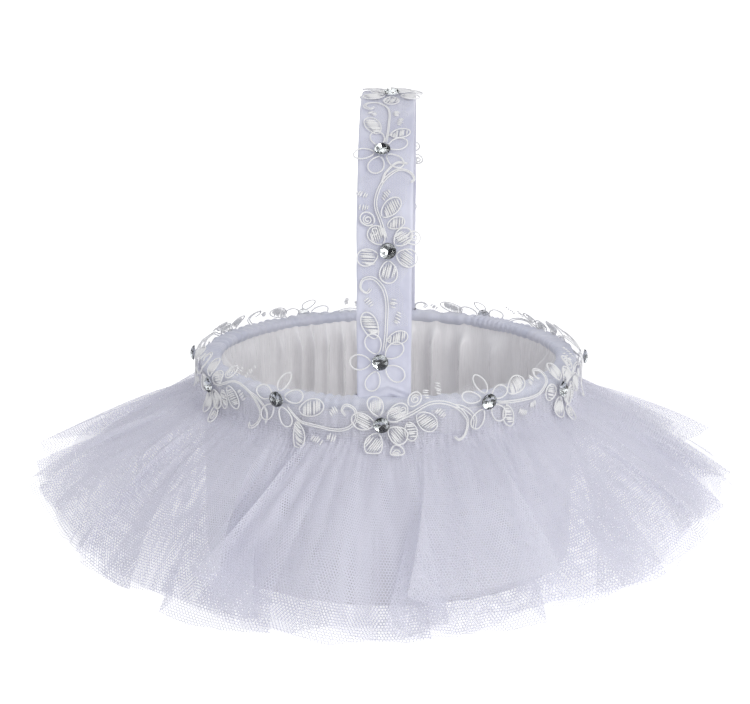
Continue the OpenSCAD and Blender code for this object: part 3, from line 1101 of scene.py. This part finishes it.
def floor():
    """White floor. The camera sees it overexposed; for the object it is a plain matt surface."""
    mesh = bpy.data.meshes.new("studio_floor")
    size, height = 12.0, -0.0006
    corners = [(x * size, y * size, height) for x, y in ((-1, -1), (1, -1), (1, 1), (-1, 1))]
    mesh.from_pydata(corners, [], [(0, 1, 2, 3)])
    material, tree = new_material("studio_white")
    speck = speckle(tree, 40.0, 2.0)
    path = add(tree, "LightPath")
    seen = path.outputs["Is Camera Ray"]
    glassy = maths(tree, "SUBTRACT", path.outputs["Is Transmission Ray"], path.outputs["Is Diffuse Ray"])
    card = speckle(tree, 3.0, 1.0)
    card = maths(tree, "MULTIPLY", ramp(tree, card, 0.44, 0.5), ramp(tree, glassy, 0.0, 1.0))
    white = blend(tree, speck, (0.86, 0.86, 0.86, 1), (0.9, 0.9, 0.9, 1))
    glow = ramp(tree, seen, 0.0, 1.0, 0.15, 0.75)
    surface(tree, {
        "Base Color": blend(tree, card, white, (0.02, 0.02, 0.02, 1)), "Roughness": 0.9,
        "Emission Color": (1, 1, 1, 1),
        "Emission Strength": maths(tree, "MULTIPLY", glow, ramp(tree, card, 0.0, 1.0, 1.0, 0.0)),
    })
    mesh.materials.append(material)
    piece = put("studio_floor", mesh)


def world():
    """Soft white surroundings, less bright overhead. Mirror-like pieces see dark cards among white ones."""
    made = bpy.data.worlds.new("studio")
    made.use_nodes = True
    tree = made.node_tree
    tree.nodes.clear()
    away = add(tree, "TexCoord").outputs["Generated"]
    split = add(tree, "SeparateXYZ", {0: away})
    overhead = ramp(tree, split.outputs[2], 0.15, 1.0)
    soft = blend(tree, overhead, (0.93, 0.935, 0.96, 1), (0.34, 0.34, 0.37, 1))
    card = add(tree, "TexNoise", {"Vector": away, "Scale": 2.3, "Detail": 1.0}).outputs[0]
    ahead = dot(tree, away, (-0.35, -0.75, 0.56))
    dark = maths(tree, "MAXIMUM", ramp(tree, card, 0.5, 0.44), ramp(tree, ahead, 0.5, 0.66))
    cards = blend(tree, dark, (1.3, 1.3, 1.3, 1), (0.03, 0.03, 0.035, 1))
    path = add(tree, "LightPath")
    matt = maths(tree, "MAXIMUM", path.outputs["Is Diffuse Ray"], path.outputs["Is Shadow Ray"])
    colour = blend(tree, matt, cards, soft)
    colour = blend(tree, path.outputs["Is Camera Ray"], colour, (1, 1, 1, 1))
    back = add(tree, "Background", {"Color": colour, "Strength": 1.0})
    add(tree, "OutputWorld", {"Surface": back.outputs[0]})
    bpy.context.scene.world = made


def point_at(piece, place, aim):
    """Put a lamp or camera at place, looking at aim."""
    piece.location = place
    piece.rotation_mode = "QUATERNION"
    piece.rotation_quaternion = (Vector(aim) - Vector(place)).to_track_quat("-Z", "Y")


def lamp(name, place, size, power, colour):
    """A round lamp aimed at the middle of the basket."""
    light = bpy.data.lights.new(name, "AREA")
    light.shape, light.size, light.energy, light.color = "DISK", size, power, colour
    point_at(put(name, light), place, (0, 0, 0.1))


def camera():
    """One metre from the middle of the rim, a quarter of a metre above it, and slightly to the right."""
    lens = bpy.data.cameras.new("camera")
    lens.lens, lens.sensor_width, lens.clip_start, lens.clip_end = 92.5, 36.0, 0.05, 60.0
    piece = put("camera", lens)
    side = math.radians(1.3)
    point_at(piece, (math.sin(side), -math.cos(side), 0.362), (-0.0072, 0.0, RIM_TOP * MM - 0.001))
    bpy.context.scene.camera = piece


floor()
world()
lamp("key", (1.02, -1.36, 0.82), 0.8, 6.3, (1.0, 0.99, 0.98))
lamp("top", (0.45, -0.7, 1.4), 0.5, 2.5, (0.98, 0.99, 1.0))
camera()
scene = bpy.context.scene
scene.view_settings.view_transform = "Standard"
scene.cycles.transparent_max_bounces = 48
scene.cycles.denoising_prefilter = "NONE"
